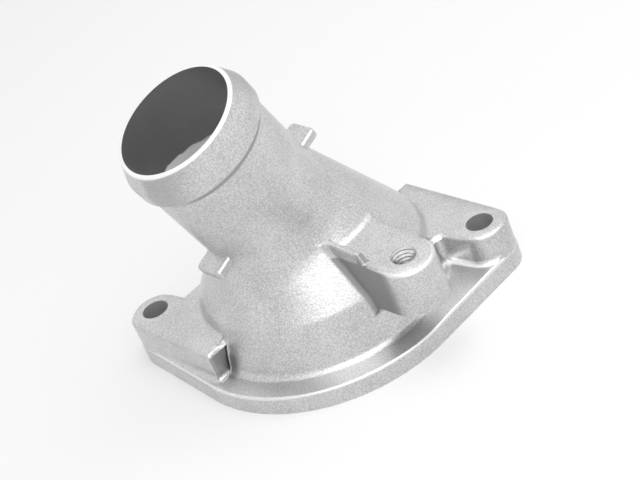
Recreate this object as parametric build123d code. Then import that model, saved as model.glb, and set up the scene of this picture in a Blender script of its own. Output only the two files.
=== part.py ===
"""One-piece die-cast aluminium coolant outlet: flange, dome, leaning hose neck.

Units are millimetres, +Z points up.  The origin is the centre of the gasket
face, which lies in the plane z = 0, and +X runs through the two bolt holes.
"""
import math
import os

from build123d import *

# Flange plate
BOLT_SPACING = 86.4
BOLT_HOLE_R = 3.5
PLATE_R = 39.3
PLATE_TIP_R = 7.1
PLATE_T = 5.0
PLATE_CHAMFER = 0.6

# Bolt ears standing on the plate
EAR_TOP_Z = 13.0
EAR_R = 36.7
EAR_TIP_R = 6.9
POCKET_ANGLE = 144.1
EAR_BEVEL = 1.0
EAR_END_CORNER_R = 1.0
EAR_ROOT_R = 1.5
EAR_ARC_END_ANGLE = -5.9
EAR_END_OUT = -1.3
EAR_DOME_R = 2.5
EAR_DOME_BITE = 0.02

# Dome, turned about Z
DOME_FOOT_R = 32.6
DOME_SHOULDER_R = 29.2
DOME_SHOULDER_Z = 17.0
DOME_CONE_R = 6.4
DOME_CONE_Z = 50.0
DOME_SHOULDER_ROUND = 6.0
DOME_FOOT_FILLET = 2.0
DOME_SEAM_ANGLE = 25.0

# Hose neck, turned about an axis that leans away from Z in the parting plane
NECK_BEND_Z = 20.6
NECK_TILT = 19.7
NECK_AZIMUTH = -133.9
NECK_LENGTH = 53.4
NECK_R = 16.9
NECK_END_DEPTH = 45.4
NECK_ROOT_FILLET = 14.0
BEAD_RIM_R = 15.9
BEAD_R = 18.1
BEAD_CONE_LENGTH = 5.0
BEAD_LENGTH = 9.0
BEAD_STEP = 0.6

# Hose stops in the parting plane
STOP_DEPTH = 32.3
STOP_T = 2.6
STOP_WIDTH = 8.5
STOP_REACH = 21.6
STOP_CHAMFER = 0.4

# Threaded boss on the side of the dome, and the rib along its left edge
BOSS_AZIMUTH = NECK_AZIMUTH + 90
BOSS_OUT = 38.2
BOSS_SIDE = 1.0
BOSS_R = 7.5
BOSS_TOP_Z = 27.0
BOSS_HEIGHT = 12.2
BOSS_DRAFT = 1.5
BOSS_TILT = 4.0
BOSS_ROOT_FILLET = 2.5
BOSS_BEVEL = 0.7
RIB_RIGHT_SIDE = -5.4
RIB_END = -6.6
RIB_HEIGHT = 2.5
RIB_END_SLOPE = 35.0
RIB_CORNER_R = 0.8
RIB_FOOT_R = 0.4
RIB_EDGE_R = 0.6
TAP_R = 2.5
TAP_CHAMFER = 0.75

# Waterway
BORE_R = 15.1
BORE_DEPTH = 50.0
CAVITY_R = 26.4
CAVITY_WALL = 3.4
SEAT_R = 28.0
SEAT_DEPTH = 3.5


def polar(radius, degrees):
    """Point in the plane z = 0 from a radius and an azimuth."""
    angle = math.radians(degrees)
    return (radius * math.cos(angle), radius * math.sin(angle))


def neck_plane(depth=0.0):
    """Plane square to the neck, its origin `depth` below the rim.

    Local x lies in the parting plane on the side the neck leans to.
    """
    tilt = math.radians(NECK_TILT)
    azimuth = math.radians(NECK_AZIMUTH)
    along = Vector(
        math.sin(tilt) * math.cos(azimuth),
        math.sin(tilt) * math.sin(azimuth),
        math.cos(tilt),
    )
    side = Vector(
        math.cos(tilt) * math.cos(azimuth),
        math.cos(tilt) * math.sin(azimuth),
        -math.sin(tilt),
    )
    origin = Vector(0, 0, NECK_BEND_Z) + along * (NECK_LENGTH - depth)
    return Plane(origin=origin, x_dir=side, z_dir=along)


def oval_outline(body_r, tip_r):
    """Flange outline: a disc and two tip discs joined by tangent lines."""
    with BuildSketch() as sketch:
        with BuildLine():
            CenterArc((0, 0), body_r, 0, 360)
            CenterArc((BOLT_SPACING / 2, 0), tip_r, 0, 360)
            CenterArc((-BOLT_SPACING / 2, 0), tip_r, 0, 360)
        make_hull()
    return sketch.sketch


def turned(points):
    """Solid of revolution about Z from a closed (radius, height) outline."""
    face = make_face(Polyline(*points, close=True))
    return revolve(Plane.XZ * face, Axis.Z)


def plate():
    """Flat oval flange with a small bevel along its upper edge."""
    body = extrude(oval_outline(PLATE_R, PLATE_TIP_R), PLATE_T)
    return chamfer(edges_at_height(body, PLATE_T), PLATE_CHAMFER)


def ear_outline(end_out):
    """Plan of the +X ear: a block behind the bolt hole and a pocket in front.

    The block's end wall is parallel to the parting plane, `end_out` off it on
    the boss's side.  The pocket wall runs straight from the round around the
    bolt hole to the dome, and meets the dome in a concave arc.
    """
    hole = (BOLT_SPACING / 2, 0)
    normal = polar(EAR_TIP_R, POCKET_ANGLE + 90)
    tangent = (hole[0] + normal[0], hole[1] + normal[1])
    inward = polar(20, POCKET_ANGLE)
    root = (tangent[0] + inward[0], tangent[1] + inward[1])
    shift = Vector(*polar(end_out, BOSS_AZIMUTH))
    end_far = tuple(Vector(*polar(60, NECK_AZIMUTH + 180)) + shift)[:2]
    end_near = tuple(Vector(*polar(18, NECK_AZIMUTH + 180)) + shift)[:2]
    behind = Polygon(tangent, hole, (60, 0), (60, 45), end_far, end_near, root, align=None)
    block = oval_outline(EAR_R, EAR_TIP_R) & behind
    face = block + Pos(*hole) * Circle(EAR_TIP_R)
    far = [v for v in face.vertices() if v.Y > 20 and math.hypot(v.X, v.Y) > 30]
    face = fillet(min(far, key=lambda v: v.X), EAR_END_CORNER_R)
    dome_r = (DOME_FOOT_R + DOME_SHOULDER_R) / 2 + 0.4
    keyed = face + Circle(dome_r)
    pocket_corner = [
        v for v in keyed.vertices() if v.X > 0 and v.Y < 5 and abs(math.hypot(v.X, v.Y) - dome_r) < 0.02
    ]
    keyed = fillet(pocket_corner, EAR_DOME_R - 0.5)
    arc_end = polar(33, EAR_ARC_END_ANGLE)
    sector = Polygon((0, 0), arc_end, (40, -12), (60, -12), (60, 45), end_far, end_near, align=None)
    return keyed & sector


def dome_wall_radius(z):
    """Radius of the dome's steep wall at height z."""
    share = (z - PLATE_T) / (DOME_SHOULDER_Z - PLATE_T)
    return DOME_FOOT_R + share * (DOME_SHOULDER_R - DOME_FOOT_R)


def ear_collar(outline):
    """Large concave round between the ear's top and the dome's wall.

    The round runs a hair (EAR_DOME_BITE) into the wall, so that the two
    surfaces cross instead of only touching.
    """
    lean = math.degrees(math.atan2(DOME_SHOULDER_Z - PLATE_T, DOME_FOOT_R - DOME_SHOULDER_R))
    wall_x = dome_wall_radius(EAR_TOP_Z)
    start = (wall_x + EAR_DOME_R * math.tan(math.radians(lean / 2)) - EAR_DOME_BITE, EAR_TOP_Z)
    centre = Vector(start[0], EAR_TOP_Z + EAR_DOME_R)
    end = centre + Vector(*polar(EAR_DOME_R, 270 - lean))
    middle = centre + Vector(*polar(EAR_DOME_R, 270 - lean / 2))
    below = EAR_TOP_Z - 1
    inside = wall_x - 3
    sides = Polyline(start, (start[0], below), (inside, below), (inside, end.Y), (end.X, end.Y))
    arc = ThreePointArc((end.X, end.Y), (middle.X, middle.Y), start)
    ring = revolve(Plane.XZ * make_face(sides + arc), Axis.Z)
    inset = offset(outline, -EAR_BEVEL, kind=Kind.INTERSECTION)
    return ring & (Pos(0, 0, 10) * extrude(inset, 10))


def ear(end_out):
    """Bolt ear on the +X side, with a root fillet that stays on the plate's flat top."""
    outline = ear_outline(end_out)
    block = Pos(0, 0, PLATE_T - 1) * extrude(outline, EAR_TOP_Z - PLATE_T + 1)
    rim = [e for e in edges_at_height(block, EAR_TOP_Z) if math.hypot((e @ 0.5).X, (e @ 0.5).Y) > 31.5]
    block = chamfer(rim, EAR_BEVEL)
    slab = Pos(0, 0, PLATE_T + 5) * Box(140, 120, 10)
    around = slab - extrude(outline, 2 * EAR_TOP_Z)
    outer = [
        e
        for e in edges_at_height(around, PLATE_T)
        if max(math.hypot((e @ 0).X, (e @ 0).Y), math.hypot((e @ 1).X, (e @ 1).Y)) > 33
        and max(abs((e @ 0.5).X), abs((e @ 0.5).Y)) < 58
    ]
    around = fillet(outer, EAR_ROOT_R)
    flat = oval_outline(PLATE_R - PLATE_CHAMFER, PLATE_TIP_R - PLATE_CHAMFER)
    half = Pos(40, 0) * Rectangle(70, 90)
    root = Pos(0, 0, PLATE_T - 1) * extrude(flat & half, 1 + EAR_ROOT_R)
    return block + (root - around) + ear_collar(outline)


def edges_at_height(solid, height):
    """Edges of a solid that lie in the plane z = height."""
    return solid.edges().filter_by_position(Axis.Z, height - 0.01, height + 0.01)


def dome():
    """Closed dome: steep foot with its fillet, rounded shoulder, straight cone."""
    foot = (DOME_FOOT_R, PLATE_T)
    shoulder = (DOME_SHOULDER_R, DOME_SHOULDER_Z)
    outline = [
        (0, 1.0),
        (DOME_FOOT_R, 1.0),
        foot,
        shoulder,
        (DOME_CONE_R, DOME_CONE_Z),
        (0, DOME_CONE_Z),
    ]
    solid = fillet(edges_at_height(turned(outline), DOME_SHOULDER_Z), DOME_SHOULDER_ROUND)
    return Rot(0, 0, DOME_SEAM_ANGLE) * solid


def neck():
    """Hose neck from the rim down into the dome, with the bead at its rim."""
    outline = [
        (0, 0),
        (BEAD_RIM_R, 0),
        (BEAD_R, -BEAD_CONE_LENGTH),
        (BEAD_R, 0.5 - BEAD_LENGTH),
        (BEAD_R - BEAD_STEP, -BEAD_LENGTH),
        (NECK_R, -BEAD_LENGTH - 0.4),
        (NECK_R, -NECK_END_DEPTH),
        (0, -NECK_END_DEPTH),
    ]
    return neck_plane() * turned(outline)


def on_neck_wall(edge):
    """True for an edge that runs along the neck's outer cylinder."""
    frame = neck_plane()
    for position in (0.1, 0.5, 0.9):
        local = frame.to_local_coords(edge @ position)
        if abs(math.hypot(local.X, local.Y) - NECK_R) > 0.05:
            return False
    return True


def trunk():
    """Dome and neck joined by one large root fillet."""
    joined = dome() + neck()
    plain = (GeomType.LINE, GeomType.CIRCLE)
    seam = [e for e in joined.edges() if e.geom_type not in plain and on_neck_wall(e)]
    return fillet(seam, NECK_ROOT_FILLET)


def hose_stop(side):
    """Small block in the parting plane that the hose end butts against."""
    length = STOP_REACH - NECK_R + 8
    block = Box(length, STOP_WIDTH, STOP_T)
    tip = block.faces().sort_by(Axis.X)[-1]
    block = fillet(tip.edges().filter_by(Axis.Z), 1.2)
    outer = [e for e in block.edges() if (e @ 0.5).X > 0.45 * length]
    block = chamfer([e for e in outer if abs(abs((e @ 0.5).Z) - STOP_T / 2) < 0.01], STOP_CHAMFER)
    centre = Pos(STOP_REACH - length / 2, 0, -STOP_T / 2)
    return neck_plane(STOP_DEPTH) * (Rot(0, 0, 0 if side > 0 else 180) * (centre * block))


def boss_frame():
    """Frame on the axis of the threaded hole, at the level of the boss's underside.

    Its x axis is square to the parting plane and points out of the body.
    """
    out = Vector(*polar(1, BOSS_AZIMUTH))
    side = Vector(*polar(1, BOSS_AZIMUTH + 90))
    origin = out * BOSS_OUT + side * BOSS_SIDE + Vector(0, 0, BOSS_TOP_Z - BOSS_HEIGHT)
    return Plane(origin=origin, x_dir=out, z_dir=(0, 0, 1))


def above_boss():
    """Everything above the boss's sloping top face."""
    return Pos(0, 0, BOSS_HEIGHT) * Rot(0, BOSS_TILT, 0) * (Pos(0, 0, 20) * Box(100, 60, 40))


def boss_prism():
    """Round-ended prism of the boss, drafted all round."""
    slab = Pos(-14, 0) * Rectangle(28, 2 * BOSS_R)
    return extrude(slab + Circle(BOSS_R), BOSS_HEIGHT + 9, taper=BOSS_DRAFT)


def boss_with_rib():
    """The boss and, flush with its left wall, the rib that stands above its top."""
    back = RIB_HEIGHT * math.tan(math.radians(RIB_END_SLOPE))
    side_view = Polygon((RIB_END, 0), (RIB_END - back, RIB_HEIGHT), (-60, RIB_HEIGHT), (-60, 0), align=None)
    rib_room = Pos(0, RIB_RIGHT_SIDE, 0) * extrude(Plane.XZ * side_view, 20)
    rib_room = Pos(0, 0, BOSS_HEIGHT) * Rot(0, BOSS_TILT, 0) * rib_room
    shape = boss_prism() - (above_boss() - rib_room)
    half_way = Vector(RIB_END - back / 2, -BOSS_R, BOSS_HEIGHT + RIB_HEIGHT / 2)
    corner = shape.edges().sort_by(lambda e: ((e @ 0.5) - half_way).length)[0]
    return fillet(corner, RIB_CORNER_R)


def sharp_rim():
    """What the bevel takes off the upper rim of the boss, in front of the rib."""
    blunt = boss_prism() - above_boss()
    bevelled = chamfer([e for e in blunt.edges() if e.geom_type == GeomType.ELLIPSE], BOSS_BEVEL)
    right = Pos(-15.4, 0, BOSS_HEIGHT - 2) * Box(30, 12, 6, align=Align.MIN)
    left = Pos(RIB_END + 0.2, -12, BOSS_HEIGHT - 2) * Box(20, 12, 6, align=Align.MIN)
    return (right + left) - bevelled


def trunk_with_boss():
    """Dome, neck and boss in one, with the boss's large root fillet."""
    frame = boss_frame()
    joined = trunk() + frame * boss_with_rib()

    def pick(solid, wanted):
        """Edges whose middle, in the boss frame, passes the test."""
        return [e for e in solid.edges() if wanted(frame.to_local_coords(e @ 0.5), e)]

    def on_rib(spot):
        return spot.Y < RIB_RIGHT_SIDE + 0.1 and spot.Z > BOSS_HEIGHT + 1

    def at_root(spot, edge):
        near = -28 < spot.X < -7 and abs(spot.Y) < 9 and -2 < spot.Z < 19
        return near and not on_rib(spot) and edge.geom_type != GeomType.LINE

    def at_rib_foot(spot, edge):
        straight = edge.geom_type in (GeomType.LINE, GeomType.ELLIPSE)
        level = BOSS_HEIGHT + 0.2 < spot.Z < BOSS_HEIGHT + 1
        return straight and level and -14 < spot.X < -5 and -7.3 < spot.Y < -4.5

    def at_rib_top(spot, edge):
        straight = edge.geom_type in (GeomType.LINE, GeomType.ELLIPSE)
        return straight and spot.Z > BOSS_HEIGHT + 3 and -14 < spot.X < -4 and spot.Y < -4.3

    solid = fillet(pick(joined, at_root), BOSS_ROOT_FILLET)
    solid = fillet(pick(solid, at_rib_foot), RIB_FOOT_R)
    solid = fillet(pick(solid, at_rib_top), RIB_EDGE_R)
    return solid - frame * sharp_rim()


def waterway():
    """Everything hollow: thermostat seat, cavity under the dome, hose bore."""
    seat = turned([(0, -1), (SEAT_R, -1), (SEAT_R, SEAT_DEPTH), (0, SEAT_DEPTH)])
    wall = CAVITY_WALL
    cavity = turned(
        [
            (0, 0),
            (CAVITY_R, 0),
            (CAVITY_R, DOME_SHOULDER_Z - 0.2 * wall),
            (DOME_CONE_R - 1.3 * wall + 3.5, DOME_CONE_Z - 5),
            (0, DOME_CONE_Z - 5),
        ]
    )
    bore = neck_plane() * turned(
        [
            (0, 1),
            (BORE_R, 1),
            (BORE_R, -BORE_DEPTH),
            (0, -BORE_DEPTH),
        ]
    )
    return seat + cavity + bore


def threaded_hole():
    """Drilled core of the threaded hole, upright, with its countersink."""
    drill = Cylinder(TAP_R, 2 * BOSS_HEIGHT + 2)
    sink = Pos(0, 0, -TAP_CHAMFER / 2) * Cone(TAP_R, TAP_R + TAP_CHAMFER, TAP_CHAMFER)
    wide = Pos(0, 0, 1) * Cylinder(TAP_R + TAP_CHAMFER, 2)
    return boss_frame() * (Pos(0, 0, BOSS_HEIGHT) * (drill + sink + wide))


def casting():
    """The finished casting with its machined holes and faces."""
    solid = trunk_with_boss() + plate()
    foot = [
        e
        for e in edges_at_height(solid, PLATE_T)
        if e.geom_type == GeomType.CIRCLE and abs(e.radius - DOME_FOOT_R) < 0.05
    ]
    solid = fillet(foot, DOME_FOOT_FILLET)
    solid += ear(EAR_END_OUT) + Rot(0, 0, 180) * ear(-EAR_END_OUT)
    solid += [hose_stop(1), hose_stop(-1)]
    solid -= waterway()
    for x in (BOLT_SPACING / 2, -BOLT_SPACING / 2):
        solid -= Pos(x, 0, EAR_TOP_Z / 2) * Cylinder(BOLT_HOLE_R, 2 * EAR_TOP_Z)
    return solid - threaded_hole()


os.makedirs("parts", exist_ok=True)
part = casting()
print("volume", round(part.volume), "valid", part.is_valid, "solids", len(part.solids()))
export_step(part, "parts/coolant_outlet.step")
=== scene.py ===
# %% [markdown]
# # A die-cast coolant outlet
#
# The object is one aluminium casting: an oval flange with two bolt ears, a dome over the
# thermostat, and a slanted hose neck with a bead and two hose stops. A boss with a threaded
# hole stands on its side. This lesson loads the exact solid, gives it a shot-blasted skin,
# adds the two things that are too fine for the solid (the screw thread and the casting seam),
# and sets up the studio.

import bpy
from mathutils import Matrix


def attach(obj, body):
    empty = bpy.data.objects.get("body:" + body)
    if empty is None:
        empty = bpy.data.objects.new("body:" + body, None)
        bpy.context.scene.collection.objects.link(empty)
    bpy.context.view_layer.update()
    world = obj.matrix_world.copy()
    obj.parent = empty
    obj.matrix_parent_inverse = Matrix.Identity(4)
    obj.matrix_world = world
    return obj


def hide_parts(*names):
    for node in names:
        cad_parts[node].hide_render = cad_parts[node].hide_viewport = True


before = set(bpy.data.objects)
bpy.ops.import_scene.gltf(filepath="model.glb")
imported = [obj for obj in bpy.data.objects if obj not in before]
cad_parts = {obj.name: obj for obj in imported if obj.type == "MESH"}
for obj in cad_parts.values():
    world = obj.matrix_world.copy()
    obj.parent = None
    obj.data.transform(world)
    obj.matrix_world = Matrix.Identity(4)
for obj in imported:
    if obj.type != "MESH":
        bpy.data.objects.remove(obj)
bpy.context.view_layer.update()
print("nodes:", sorted(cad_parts))

# %% Tools used in the lesson
import math

import bmesh
import bpy
from mathutils import Matrix, Vector
from mathutils.bvhtree import BVHTree

MM = 0.001
NODE = "coolant_outlet"

# %% [markdown]
# The casting has its origin in the middle of the gasket face, with Z up through the dome.
# The sizes that the later steps need are kept here by name. The die opened along one
# horizontal direction, so the plane between its halves is upright and holds both the dome's
# axis and the leaning axis of the neck. The seam, the hose stops and the boss all follow that
# plane, so a place near them is given as a distance out of the plane, a distance along it and
# a height.

# %% Sizes of the real part
NECK_BEND = Vector((0, 0, 20.6)) * MM
NECK_TILT = math.radians(19.7)
NECK_AZIMUTH = math.radians(-133.9)
NECK_LENGTH = 53.4 * MM
BORE_R = 15.1 * MM
BOLT_X = 43.2 * MM
BOLT_HOLE_R = 3.5 * MM
BOSS_HEIGHT = 12.2 * MM
BOSS_TILT = math.radians(4.0)
CORE_R = 2.5 * MM
MOUTH_R = 3.25 * MM
UP = Vector((0, 0, 1))


def heading(angle):
    """Unit vector in the XY plane at that azimuth."""
    return Vector((math.cos(angle), math.sin(angle), 0))


neck_axis = heading(NECK_AZIMUTH) * math.sin(NECK_TILT) + UP * math.cos(NECK_TILT)
rim_centre = NECK_BEND + neck_axis * NECK_LENGTH
die_out = heading(NECK_AZIMUTH + math.pi / 2)
die_along = heading(NECK_AZIMUTH + math.pi)


def die_place(out, along, height):
    """Point from its distance out of the parting plane, along it, and its height, in mm."""
    return (die_out * out + die_along * along + UP * height) * MM


hole_mouth = die_place(38.2, 1.0, 27.0)
boss_slope = die_out * math.sin(BOSS_TILT) + UP * math.cos(BOSS_TILT)
print("rim centre in mm:", [round(v / MM, 1) for v in rim_centre])

# %% [markdown]
# A material is a small graph of nodes. Written out by hand, that is a long list of links. The
# class below wraps one output socket and overloads the arithmetic operators, so that a mask
# can be written as an ordinary expression, and one method makes any other node. A wire without
# a socket is the start of a tree, from which its first nodes are made.


# %% A small shader language
class Wire:
    """One output socket of a node tree, with arithmetic."""

    def __init__(self, tree, socket=None):
        self.tree = tree
        self.socket = socket

    def node(self, kind, inputs, output=0, **settings):
        made = self.tree.nodes.new(kind)
        for name, value in settings.items():
            setattr(made, name, value)
        for name, value in inputs.items():
            if isinstance(value, Wire):
                self.tree.links.new(value.socket, made.inputs[name])
            else:
                made.inputs[name].default_value = value
        return Wire(self.tree, made.outputs[output])

    def maths(self, operation, left, right=0.0):
        return self.node("ShaderNodeMath", {0: left, 1: right}, operation=operation)

    def __add__(self, other):
        return self.maths("ADD", self, other)

    def __radd__(self, other):
        return self.maths("ADD", other, self)

    def __sub__(self, other):
        return self.maths("SUBTRACT", self, other)

    def __rsub__(self, other):
        return self.maths("SUBTRACT", other, self)

    def __mul__(self, other):
        return self.maths("MULTIPLY", self, other)

    def __rmul__(self, other):
        return self.maths("MULTIPLY", other, self)

    def dot(self, axis):
        """This vector's length along an axis."""
        inputs = {0: self, 1: axis}
        return self.node("ShaderNodeVectorMath", inputs, "Value", operation="DOT_PRODUCT")

    def ramp(self, low, high):
        """0 below low, 1 above high, smooth between."""
        inputs = {"Value": self, "From Min": low, "From Max": high}
        return self.node("ShaderNodeMapRange", inputs, interpolation_type="SMOOTHSTEP")

    def noise(self, scale, detail=2.0, roughness=0.5):
        inputs = {"Vector": self, "Scale": scale, "Detail": detail, "Roughness": roughness}
        return self.node("ShaderNodeTexNoise", inputs)

    def blend(self, low, high):
        """Colour that runs from low to high as this wire runs from 0 to 1."""
        inputs = {"Factor": self, "A": low, "B": high}
        return self.node("ShaderNodeMix", inputs, output=2, data_type="RGBA")


# %% A new material
def new_material(name, metallic=0.0):
    """A material with its Principled shader and a wire that carries Object coordinates."""
    material = bpy.data.materials.new(name)
    material.use_nodes = True
    tree = material.node_tree
    shader = tree.nodes["Principled BSDF"]
    shader.inputs["Metallic"].default_value = metallic
    return material, shader, Wire(tree).node("ShaderNodeTexCoord", {}, "Object")


def plug(wire, node, name):
    """Links a wire to a socket of a node that the tree already has."""
    wire.tree.links.new(wire.socket, node.inputs[name])


def grey(value):
    return (value, value, value, 1)


# %% [markdown]
# After casting, the part was blasted with shot, which made its skin pale and even. A few
# places get painted shade, a darker grey where the light hardly reaches: the end wall of the
# left ear, the corner where the seam runs down beside it, the wall of the boss that faces the
# neck, the end of the rib, and the foot of the bead. The front of the bead, on one side of the
# parting plane, gets a lighter painted shade too. Such a mask could be painted on an unwrapped
# copy. Here each place is a soft-edged box in the directions of the die instead, and the bead's
# are rings around the neck, so the mask needs no unwrapping and can be read as sizes.

# %% Where shade is painted
# Boxes of painted shade in the corners, one to a row.
# Low end, high end and softness, in mm: out of the parting plane, along it and in height.
PAINTED_SHADE_BOXES = (
    ((-1.6, -1.2, 0.1), (-37.0, -30.0, 0.1), (4.5, 11.9, 0.1)),
    ((-0.3, 0.8, 2.2), (-34.0, -29.0, 1.8), (3.5, 8.6, 2.2)),
    ((20.0, 36.6, 3.6), (-7.0, -6.2, 0.5), (12.6, 27.2, 0.4)),
    ((29.8, 31.6, 0.2), (-7.0, -4.0, 0.2), (27.5, 30.0, 0.2)),
)
# The bead's rings of painted shade: low end, high end and softness down from the rim, in mm.
BEAD_FOOT = (9.0, 10.2, 0.3)
BEAD_FRONT = (0.9, 8.4, 0.4)
# Where they fade in, and the front one out again, away from the parting plane, in mm.
FOOT_START = (3.0, 12.0)
FRONT_START = (1.0, 2.2)
FRONT_END = (6.0, 15.0)
FRONT_SHADE = 0.5


def inside(value, low, high, soft):
    """1 between low and high, fading to 0 over the soft length on both sides."""
    return value.ramp(low - soft, low) * (1.0 - value.ramp(high, high + soft))


def painted_shade(place):
    """1 where shade is painted, 0 in the open."""
    out, along, height = (place.dot(axis / MM) for axis in (die_out, die_along, UP))
    depth = rim_centre.dot(neck_axis) / MM - place.dot(neck_axis / MM)
    mask = inside(depth, *BEAD_FOOT) * out.ramp(*FOOT_START)
    front = inside(depth, *BEAD_FRONT) * out.ramp(*FRONT_START) * (1.0 - out.ramp(*FRONT_END))
    mask = mask + FRONT_SHADE * front
    for out_span, along_span, height_span in PAINTED_SHADE_BOXES:
        box = inside(out, *out_span) * inside(along, *along_span) * inside(height, *height_span)
        mask = mask + box
    return mask.maths("MINIMUM", mask, 1.0)


print("sheltered corners:", len(PAINTED_SHADE_BOXES))

# %% [markdown]
# Blasted aluminium is a dull, even grey: thousands of tiny dents scatter the light, so there
# are no mirror reflections, only a soft sheen. A picture of such a skin would need unwrapping
# and would stretch over the fillets, while noise on Object coordinates lies evenly on every
# face. Two noises make it. A fine one, about the size of a dent, feeds the colour, the bump and
# the roughness. A coarse one makes the faint clouds that a die leaves.

# %% Cast aluminium
CAST_METALLIC = 0.95
CAST_DARK = grey(0.45)
CAST_LIGHT = grey(0.71)
# Grey of the painted shade in the corners and on the bead.
PAINTED_SHADE_GREY = grey(0.34)
DENT_SCALE = 2600.0
DENT_DEPTH = 0.25 * MM
DENT_STRENGTH = 0.3
CLOUD_SCALE = 110.0
CLOUD_SHARE = 0.2
# The noise stays near 0.5, so this span of it is stretched from the dark to the light tone.
TONE_SPAN = (0.34, 0.66)


def dents(place):
    return place.noise(DENT_SCALE, 3.0, 0.6)


def dented(place, strength):
    """Normal with the dents of blasting, a third of it in dents three times as wide."""
    height = 0.65 * dents(place) + 0.35 * place.noise(DENT_SCALE / 3)
    inputs = {"Height": height, "Strength": strength, "Distance": DENT_DEPTH}
    return place.node("ShaderNodeBump", inputs)


def cast_aluminium(name, dark, light, strength):
    material, shader, place = new_material(name, CAST_METALLIC)
    grain = dents(place)
    clouds = place.noise(CLOUD_SCALE, 3.0)
    tone = ((1 - CLOUD_SHARE) * grain + CLOUD_SHARE * clouds).ramp(*TONE_SPAN)
    # Painted shade: the masked places blend from the grained tone towards a dark grey.
    plug(painted_shade(place).blend(tone.blend(dark, light), PAINTED_SHADE_GREY), shader, "Base Color")
    plug(0.26 + 0.16 * grain, shader, "Roughness")
    plug(dented(place, strength), shader, "Normal")
    return material


CAST = cast_aluminium("cast_aluminium", CAST_DARK, CAST_LIGHT, DENT_STRENGTH)
print("cast finish:", CAST.name)

# %% [markdown]
# Four finishes differ from the skin. Faces that a cutter touched, such as the rim and the
# gasket face, are brighter and smoother, and so is the thread, a little less. The bolt holes
# were cored in the die: their walls are dull. These three are one recipe with other numbers,
# plain grey with a slightly uneven roughness. The fourth is a painted highlight: the bevels
# along the upper edges of the flange and the boss, and the round at the foot of the right ear,
# are painted paler, so they show thin pale bands. They keep the cast recipe, with paler tones
# and flatter dents.

# %% Machined, tapped and cored aluminium, and a painted highlight
MARK_SCALE = 1500.0
UNEVEN = 0.14


def plain_aluminium(name, tone, metallic, roughness):
    material, shader, place = new_material(name, metallic)
    plug(roughness - UNEVEN / 2 + UNEVEN * place.noise(MARK_SCALE), shader, "Roughness")
    shader.inputs["Base Color"].default_value = grey(tone)
    return material


MACHINED = plain_aluminium("machined_aluminium", 0.95, 1.0, 0.32)
TAPPED = plain_aluminium("tapped_aluminium", 0.72, 1.0, 0.30)
CORED = plain_aluminium("cored_aluminium", 0.55, 0.8, 0.60)
# Painted highlight: paler tones on the bevels stand in for the light that rounds catch.
PAINTED_HIGHLIGHT = cast_aluminium("highlight_painted_aluminium", grey(0.68), grey(0.84), DENT_STRENGTH / 2)
print("other finishes:", MACHINED.name, TAPPED.name, CORED.name, PAINTED_HIGHLIGHT.name)

# %% [markdown]
# The inside of the neck was shaped by a core. Its wall is dark grey down to an uneven line.
# Below the line it is painted pale and dull, as painted light that comes up through the cavity
# from below. The line could be an edge in the mesh, but it isn't one on the real wall, so it is
# a mask on the height, made ragged by noise.

# %% The wall of the bore
# Height of the line, how far the noise moves it and how soft it is, in mm.
DARK_END = 53.8
LINE_WAVER = 2.0
LINE_EDGE = 0.3
WAVER_SCALE = 260.0
# Grey and roughness of the painted light below the line.
PAINTED_LIGHT_GREY = grey(0.95)
PAINTED_LIGHT_ROUGH = 0.85
DARK_ROUGH = 0.52


def bore_wall():
    material, shader, place = new_material("bore_wall", CAST_METALLIC)
    waver = (place.noise(WAVER_SCALE) - 0.5) * LINE_WAVER
    dark_above = (place.dot(UP / MM) + waver).ramp(DARK_END - LINE_EDGE, DARK_END + LINE_EDGE)
    # Dark grey above the line; the pale grey below it is painted light.
    skin = dents(place).blend(grey(0.29), grey(0.40))
    plug(dark_above.blend(PAINTED_LIGHT_GREY, skin), shader, "Base Color")
    plug(PAINTED_LIGHT_ROUGH - (PAINTED_LIGHT_ROUGH - DARK_ROUGH) * dark_above, shader, "Roughness")
    plug(dented(place, DENT_STRENGTH), shader, "Normal")
    return material


BORE_WALL = bore_wall()
print("bore finish:", BORE_WALL.name)

# %% [markdown]
# Each face of the casting gets the finish of the place where it lies. The faces could be
# picked by hand in the editor, but their numbers change whenever the solid is built again. So
# a few tests find them from the sizes of the part: a distance from an axis, a height, and how
# far a bevel's normal leans.

# %% Where each finish lies
FINISHES = (CAST, MACHINED, BORE_WALL, PAINTED_HIGHLIGHT, CORED)
TOUCH = 0.05 * MM
BORE_SLACK = 0.2 * MM
# Heights of the bevels, in mm, and how far out they lie.
PLATE_BEVEL = (4.4, 5.0)
PLATE_EDGE_X = 40.0
PLATE_EDGE_R = 38.5
FOOT_BEVEL = (4.95, 6.4)
FOOT_X = 30.0
EAR_BEVEL = (12.0, 13.0)
EAR_R = 33.5
# The boss: radius, and how far the bevel reaches down from the sloping top, in mm.
BOSS_R = 7.6
BOSS_BEVEL = (-0.02, 1.2)
# Height of the unit normal on a bevel, and on the round at the foot of the right ear.
BEVEL_LEAN = (0.55, 0.85)
FOOT_LEAN = (0.2, 0.97)


def within(value, span):
    return span[0] < value < span[1]


def from_axis(point, centre, axis):
    """Distance of a point from an axis."""
    away = point - centre
    return (away - axis * away.dot(axis)).length


def on_rim(point):
    return abs((point - rim_centre).dot(neck_axis)) < TOUCH


def is_cored(point):
    bolt_axes = (Vector((x, 0, 0)) for x in (-BOLT_X, BOLT_X))
    return any(from_axis(point, centre, UP) < BOLT_HOLE_R + TOUCH for centre in bolt_axes)


def in_bore(point, normal):
    away = point - rim_centre
    inward = normal.dot(away - neck_axis * away.dot(neck_axis)) < 0
    return inward and abs(from_axis(point, rim_centre, neck_axis) - BORE_R) < BORE_SLACK


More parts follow.
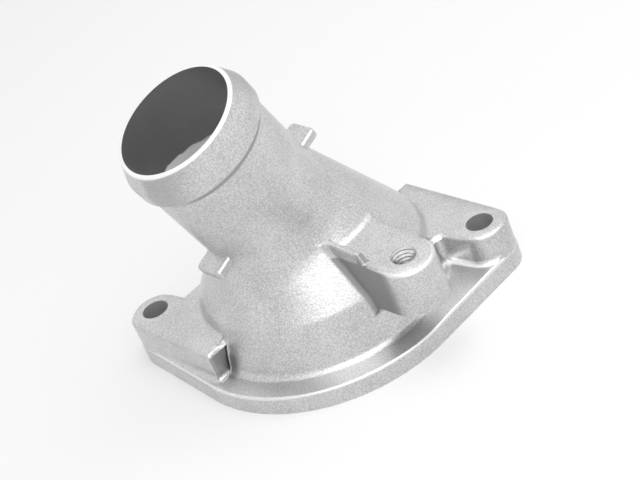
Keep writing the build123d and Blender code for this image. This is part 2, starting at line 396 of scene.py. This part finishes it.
def on_highlight_bevel(point, normal):
    """True on the bevels that get the painted highlight: the upper edges of the plate and the
    boss, and one foot.
    """
    x, y, z = point / MM
    if within(z, FOOT_BEVEL) and x > FOOT_X and y < 0:
        return within(normal.z, FOOT_LEAN)
    far_out = abs(x) > PLATE_EDGE_X or math.hypot(x, y) > PLATE_EDGE_R
    below_top = (hole_mouth - point).dot(boss_slope) / MM
    at_boss = from_axis(point, hole_mouth, UP) < BOSS_R * MM and within(below_top, BOSS_BEVEL)
    return within(normal.z, BEVEL_LEAN) and (at_boss or (far_out and within(z, PLATE_BEVEL)))


def finish_of(point, normal):
    """The finish of the place where a face lies."""
    if on_rim(point) or abs(point.z) < TOUCH:
        return MACHINED
    if in_bore(point, normal):
        return BORE_WALL
    if on_highlight_bevel(point, normal):
        return PAINTED_HIGHLIGHT
    if is_cored(point):
        return CORED
    return CAST


print("finishes:", [material.name for material in FINISHES])

# %% [markdown]
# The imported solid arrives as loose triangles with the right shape. A copy of it with its
# corners merged can be shaded smoothly, with sharp edges only where the surface really turns.
# The bevels of the solid stand for soft rounds, so their edges stay smooth up to a larger
# angle. Rounding them in the mesh would add thousands of faces for strips of less than a
# millimetre.

# %% Which edges are sharp
SHARP_ANGLE = math.radians(30)
BEVEL_ANGLE = math.radians(60)


def on_bevel(face):
    """True on every bevel that stands for a soft round."""
    point, normal = face.calc_center_median(), face.normal
    on_ear = within(point.z / MM, EAR_BEVEL) and point.xy.length > EAR_R * MM
    return on_highlight_bevel(point, normal) or (on_ear and within(normal.z, BEVEL_LEAN))


def meets_softly(edge):
    """True where the light should run on from one face to the next."""
    if not edge.is_manifold:
        return False
    soft = edge.is_convex and any(on_bevel(face) for face in edge.link_faces)
    return edge.calc_face_angle() < (BEVEL_ANGLE if soft else SHARP_ANGLE)


print("sharp above", round(math.degrees(SHARP_ANGLE)), "degrees")

# %% [markdown]
# The rim of the neck was dressed with a file after it was cut off, so its outer edge gets a
# real round. It is in full view and holds the brightest line of the object, which shading
# alone can't give, and it is only one circle of edges, so a bevel of four segments costs
# little.

# %% The rim's round
RIM_ROUND = 0.5 * MM
RIM_SEGMENTS = 4


def dress_rim(shape):
    """Rounds the outer edge of the neck's rim."""
    outside = BORE_R + BORE_SLACK
    rim = []
    for edge in shape.edges:
        places = [vert.co for vert in edge.verts]
        if all(on_rim(p) and from_axis(p, rim_centre, neck_axis) > outside for p in places):
            rim.append(edge)
    made = bmesh.ops.bevel(
        shape,
        geom=rim,
        offset=RIM_ROUND,
        offset_type="OFFSET",
        affect="EDGES",
        segments=RIM_SEGMENTS,
        profile=0.5,
        clamp_overlap=False,
        material=-1,
    )
    for face in made["faces"]:
        face.smooth = True
        face.material_index = FINISHES.index(MACHINED)
        for edge in face.edges:
            edge.smooth = True
    print("rim round:", len(made["faces"]), "faces")


# %% [markdown]
# Now the copy is made. The wall of the threaded hole is left out of it, because the next step
# cuts a thread there. Last, a Weighted Normal modifier lets the large faces keep their own
# direction and turns the light over the narrow bevels in one sweep, as a round would.

# %% The casting
MERGE = 0.0005 * MM


def in_threaded_hole(face):
    for vert in face.verts:
        if from_axis(vert.co, hole_mouth, UP) > MOUTH_R + TOUCH:
            return False
        if abs(vert.co.z - hole_mouth.z) > BOSS_HEIGHT + MM:
            return False
    return True


def casting_skin():
    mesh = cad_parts[NODE].data.copy()
    mesh.name = "casting_skin"
    shape = bmesh.new()
    shape.from_mesh(mesh)
    bmesh.ops.remove_doubles(shape, verts=shape.verts, dist=MERGE)
    hole = [face for face in shape.faces if in_threaded_hole(face)]
    bmesh.ops.delete(shape, geom=hole, context="FACES")
    for face in shape.faces:
        finish = finish_of(face.calc_center_median(), face.normal)
        face.material_index = FINISHES.index(finish)
        face.smooth = True
    for edge in shape.edges:
        edge.smooth = meets_softly(edge)
    dress_rim(shape)
    mesh.materials.clear()
    shape.to_mesh(mesh)
    shape.free()
    for material in FINISHES:
        mesh.materials.append(material)
    return mesh


def add_piece(name, mesh):
    """Object for a finished mesh, riding on the casting's body."""
    piece = bpy.data.objects.new(name, mesh)
    bpy.context.scene.collection.objects.link(piece)
    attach(piece, "root")
    return piece


skin = add_piece("casting_skin", casting_skin())
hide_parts(NODE)
soft_light = skin.modifiers.new("soft_edges", "WEIGHTED_NORMAL")
soft_light.mode = "FACE_AREA_WITH_ANGLE"
soft_light.weight = 60
soft_light.keep_sharp = True
print("casting:", len(skin.data.polygons), "faces")

# %% [markdown]
# The hole in the boss has an M6 thread with a pitch of 1 mm. A bump could only draw it, but
# the turns are seen from the side, one behind the other, so they are modelled. A thread is one
# zigzag profile that climbs by one pitch while it goes round once. So the profile of the whole
# depth is drawn on the wall of the hole and spun once around the hole's axis with a small lift
# at each step. After a full turn it lands exactly on itself, one tooth higher, and the doubles
# are merged. The countersink then pushes out what stands inside its cone, and two cuts trim
# the ends to the sloping top of the boss and to its underside.

# %% The thread
PITCH = 1.0 * MM
THREAD_DEPTH = 0.5 * MM
SPIN_STEPS = 48
THREAD_MERGE = 0.01 * MM
# One tooth: rise in pitches, and depth as a share of the thread's.
TOOTH = ((0.0, 0.0), (0.25, 0.0), (0.56, 1.0), (0.69, 1.0))
# Turns drawn past the two ends of the hole, which the cuts take away.
SPARE_TURNS = 4
SPARE_BELOW = 1.5


def spun_teeth(shape):
    profile = []
    for turn in range(int(BOSS_HEIGHT / PITCH) + SPARE_TURNS):
        for rise, depth in TOOTH:
            height = (turn + rise - SPARE_BELOW) * PITCH - BOSS_HEIGHT
            place = hole_mouth + die_out * (CORE_R + depth * THREAD_DEPTH) + UP * height
            profile.append(shape.verts.new(place))
    lines = [shape.edges.new(pair) for pair in zip(profile, profile[1:])]
    bmesh.ops.spin(
        shape,
        geom=profile + lines,
        cent=hole_mouth,
        axis=UP,
        dvec=UP * (PITCH / SPIN_STEPS),
        angle=2 * math.pi,
        steps=SPIN_STEPS,
        use_merge=False,
    )
    bmesh.ops.remove_doubles(shape, verts=shape.verts, dist=THREAD_MERGE)


def countersink(shape):
    for vert in shape.verts:
        away = vert.co - hole_mouth
        radius = away.xy.length
        sink = min(MOUTH_R, MOUTH_R + away.z)
        if radius < sink:
            vert.co.xy = hole_mouth.xy + away.xy * (sink / radius)


def threaded_wall():
    shape = bmesh.new()
    spun_teeth(shape)
    countersink(shape)
    for place, normal in ((hole_mouth, boss_slope), (hole_mouth - UP * BOSS_HEIGHT, -UP)):
        everything = shape.verts[:] + shape.edges[:] + shape.faces[:]
        bmesh.ops.bisect_plane(
            shape, geom=everything, plane_co=place, plane_no=normal, clear_outer=True
        )
    for face in shape.faces:
        face.smooth = True
        away = face.calc_center_median() - hole_mouth
        if face.normal.xy.dot(away.xy) > 0:
            face.normal_flip()
    mesh = bpy.data.meshes.new("boss_thread")
    shape.to_mesh(mesh)
    shape.free()
    mesh.materials.append(TAPPED)
    return mesh


thread = add_piece("boss_thread", threaded_wall())
print("thread:", len(thread.data.polygons), "faces")

# %% [markdown]
# Where the two halves of the die met, a little metal was squeezed out. It stays as a fine
# seam down the dome, stands highest in the corner beside the left ear, and fades out on the
# plate. A curve with a bevel would keep one width and would leave the surface at every round.
# So the seam's stations are listed, and a ray finds the casting's surface at each. At
# each station lies a flat ring, half sunk in the surface, and the rings are bridged.

# %% The path of the seam
# On the wall: height, distance out of the parting plane, how proud the seam stands, in mm.
WALL_STATIONS = (
    (23.0, 0.35, 0.02),
    (20.0, 0.35, 0.10),
    (16.0, 0.25, 0.14),
    (13.2, -0.20, 0.20),
    (11.8, -0.65, 0.50),
    (8.5, -0.75, 0.62),
    (6.2, -0.65, 0.55),
)
# On the plate: distance along the parting plane, distance out of it, how proud.
PLATE_STATIONS = ((-33.4, -0.50, 0.30), (-34.8, -0.30, 0.16), (-36.8, -0.15, 0.03))
STEPS_BETWEEN = 6
# Where the rays start, well clear of the casting, in mm.
BESIDE = -60.0
ABOVE = 30.0


def filled_in(stations):
    """The stations with evenly spaced ones added between them."""
    for first, last in zip(stations, stations[1:]):
        for step in range(STEPS_BETWEEN):
            share = step / STEPS_BETWEEN
            yield tuple(a + (b - a) * share for a, b in zip(first, last))
    yield stations[-1]


def seam_path(surface):
    """Surface point, surface normal and height of the seam, all the way down."""
    for height, out, proud in filled_in(WALL_STATIONS):
        point, normal = surface.ray_cast(die_place(out, BESIDE, height), die_along)[:2]
        yield point, normal, proud * MM
    for along, out, proud in filled_in(PLATE_STATIONS):
        point, normal = surface.ray_cast(die_place(out, along, ABOVE), -UP)[:2]
        yield point, normal, proud * MM


print("seam stations:", len(WALL_STATIONS) + len(PLATE_STATIONS))

# %% The casting seam
SEAM_WIDTH = 0.55 * MM
RING_SIDES = 12


def seam_ring(shape, point, normal, proud):
    """Edges of one flat ring across the seam."""
    across = (die_out - normal * die_out.dot(normal)).normalized()
    turn = Matrix((across, normal, across.cross(normal))).transposed().to_4x4()
    size = Matrix.Diagonal((SEAM_WIDTH / 2, proud, 1, 1))
    place = Matrix.Translation(point) @ turn @ size
    ring = bmesh.ops.create_circle(shape, segments=RING_SIDES, radius=1, matrix=place)
    # A dict, unlike a set, keeps the edges in the same order in each run.
    return list(dict.fromkeys(edge for vert in ring["verts"] for edge in vert.link_edges))


def casting_seam():
    solid = bmesh.new()
    solid.from_mesh(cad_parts[NODE].data)
    surface = BVHTree.FromBMesh(solid)
    solid.free()
    shape = bmesh.new()
    rings = [seam_ring(shape, *station) for station in seam_path(surface)]
    for pair in zip(rings, rings[1:]):
        bmesh.ops.bridge_loops(shape, edges=pair[0] + pair[1])
    for end in (rings[0], rings[-1]):
        bmesh.ops.contextual_create(shape, geom=end)
    bmesh.ops.recalc_face_normals(shape, faces=shape.faces)
    for face in shape.faces:
        face.smooth = True
    mesh = bpy.data.meshes.new("casting_seam")
    shape.to_mesh(mesh)
    shape.free()
    mesh.materials.append(CAST)
    return mesh


seam = add_piece("casting_seam", casting_seam())
print("seam:", len(seam.data.polygons), "faces")

# %% [markdown]
# The photograph is taken from above and in front, with a long lens and the camera rolled to
# one side, so the flange runs up to the right. The camera's place, its tilt and its roll
# come from fitting the round edges of the part: the bolt holes, the rim and the flange.
# Three turns make its direction, in the order in which a photographer would make them: tilt
# down, swing to the side, roll.

# %% Camera
VIEW_ELEVATION = math.radians(32.42)
VIEW_YAW = math.radians(15.27)
VIEW_ROLL = math.radians(-23.62)
CAMERA_PLACE = Vector((98.0, -343.2, 246.2)) * MM
FOCAL_PIXELS = 1700.0
IMAGE_WIDTH = 640.0
SENSOR = 36.0


def photo_camera():
    data = bpy.data.cameras.new("photo_camera")
    data.sensor_width = SENSOR
    data.lens = FOCAL_PIXELS / IMAGE_WIDTH * SENSOR
    data.clip_start = 10 * MM
    camera = bpy.data.objects.new("photo_camera", data)
    bpy.context.scene.collection.objects.link(camera)
    tilt = Matrix.Rotation(math.pi / 2 - VIEW_ELEVATION, 4, "X")
    turn = Matrix.Rotation(VIEW_YAW, 4, "Z") @ tilt @ Matrix.Rotation(VIEW_ROLL, 4, "Z")
    camera.matrix_world = Matrix.Translation(CAMERA_PLACE) @ turn
    bpy.context.scene.camera = camera
    return camera


camera = photo_camera()
print("lens:", round(camera.data.lens, 1), "mm")

# %% [markdown]
# The studio is a pale floor, a white world and one large soft lamp. More lamps would lift the
# shadows, but the walls that face left are in shade in the photograph. The lamp hangs overhead
# and a little to the right in front, which gives the bright patch on the dome. The world looks
# plain white to the camera and in reflections but lights the part less, and the floor is
# lifted a little to those rays, while it still takes the object's shadow. The floor lies just
# below the gasket face, so that the two never show through each other.

# %% The floor
FLOOR_SIZE = 6.0
FLOOR_GREY = 0.80
FLOOR_LIFT = 0.19
FLOOR_ROUGH = 0.9
FLOOR_GAP = 0.05 * MM


def seen_directly(tree):
    """1 for the camera, in reflections and through glass; 0 for the light that falls on things."""
    camera, glossy, through = (
        Wire(tree).node("ShaderNodeLightPath", {}, f"Is {name} Ray")
        for name in ("Camera", "Glossy", "Transmission")
    )
    return camera.maths("MAXIMUM", camera, glossy.maths("MAXIMUM", glossy, through))


def pale_floor():
    shape = bmesh.new()
    bmesh.ops.create_grid(shape, x_segments=1, y_segments=1, size=FLOOR_SIZE / 2)
    mesh = bpy.data.meshes.new("floor")
    shape.to_mesh(mesh)
    shape.free()
    material, shader, place = new_material("floor_paper")
    shader.inputs["Base Color"].default_value = grey(FLOOR_GREY)
    shader.inputs["Roughness"].default_value = FLOOR_ROUGH
    shader.inputs["Emission Strength"].default_value = 1.0
    lift = seen_directly(place.tree).blend(grey(0.0), grey(FLOOR_LIFT))
    plug(lift, shader, "Emission Color")
    mesh.materials.append(material)
    floor = bpy.data.objects.new("floor", mesh)
    bpy.context.scene.collection.objects.link(floor)
    floor.location.z = -FLOOR_GAP
    return floor


floor = pale_floor()
print("floor:", FLOOR_SIZE, "m wide")

# %% World and lamp
WORLD_STRENGTH = 0.45
LAMP_PLACE = (0.42, -0.475, 1.0)
LAMP_WIDTH = 1.26
LAMP_DEPTH = 1.95
LAMP_RADIANCE = 1.62


def white_world():
    world = bpy.data.worlds.new("studio_world")
    world.use_nodes = True
    tree = world.node_tree
    lit = tree.nodes["Background"]
    lit.inputs["Color"].default_value = grey(1.0)
    lit.inputs["Strength"].default_value = WORLD_STRENGTH
    plain = Wire(tree).node("ShaderNodeBackground", {"Color": grey(1.0), "Strength": 1.0})
    inputs = {0: seen_directly(tree), 1: Wire(tree, lit.outputs[0]), 2: plain}
    white = Wire(tree).node("ShaderNodeMixShader", inputs)
    plug(white, tree.nodes["World Output"], "Surface")
    bpy.context.scene.world = world


def overhead_box():
    """Flat lamp that faces down; a radiance of 1 looks plain white."""
    data = bpy.data.lights.new("overhead_box", "AREA")
    data.shape = "RECTANGLE"
    data.size = LAMP_WIDTH
    data.size_y = LAMP_DEPTH
    data.energy = LAMP_RADIANCE * math.pi * LAMP_WIDTH * LAMP_DEPTH
    lamp = bpy.data.objects.new("overhead_box", data)
    bpy.context.scene.collection.objects.link(lamp)
    lamp.location = LAMP_PLACE
    return lamp


white_world()
lamp = overhead_box()
bpy.context.scene.view_settings.view_transform = "Standard"
print("lamp:", round(lamp.data.energy, 1), "W")
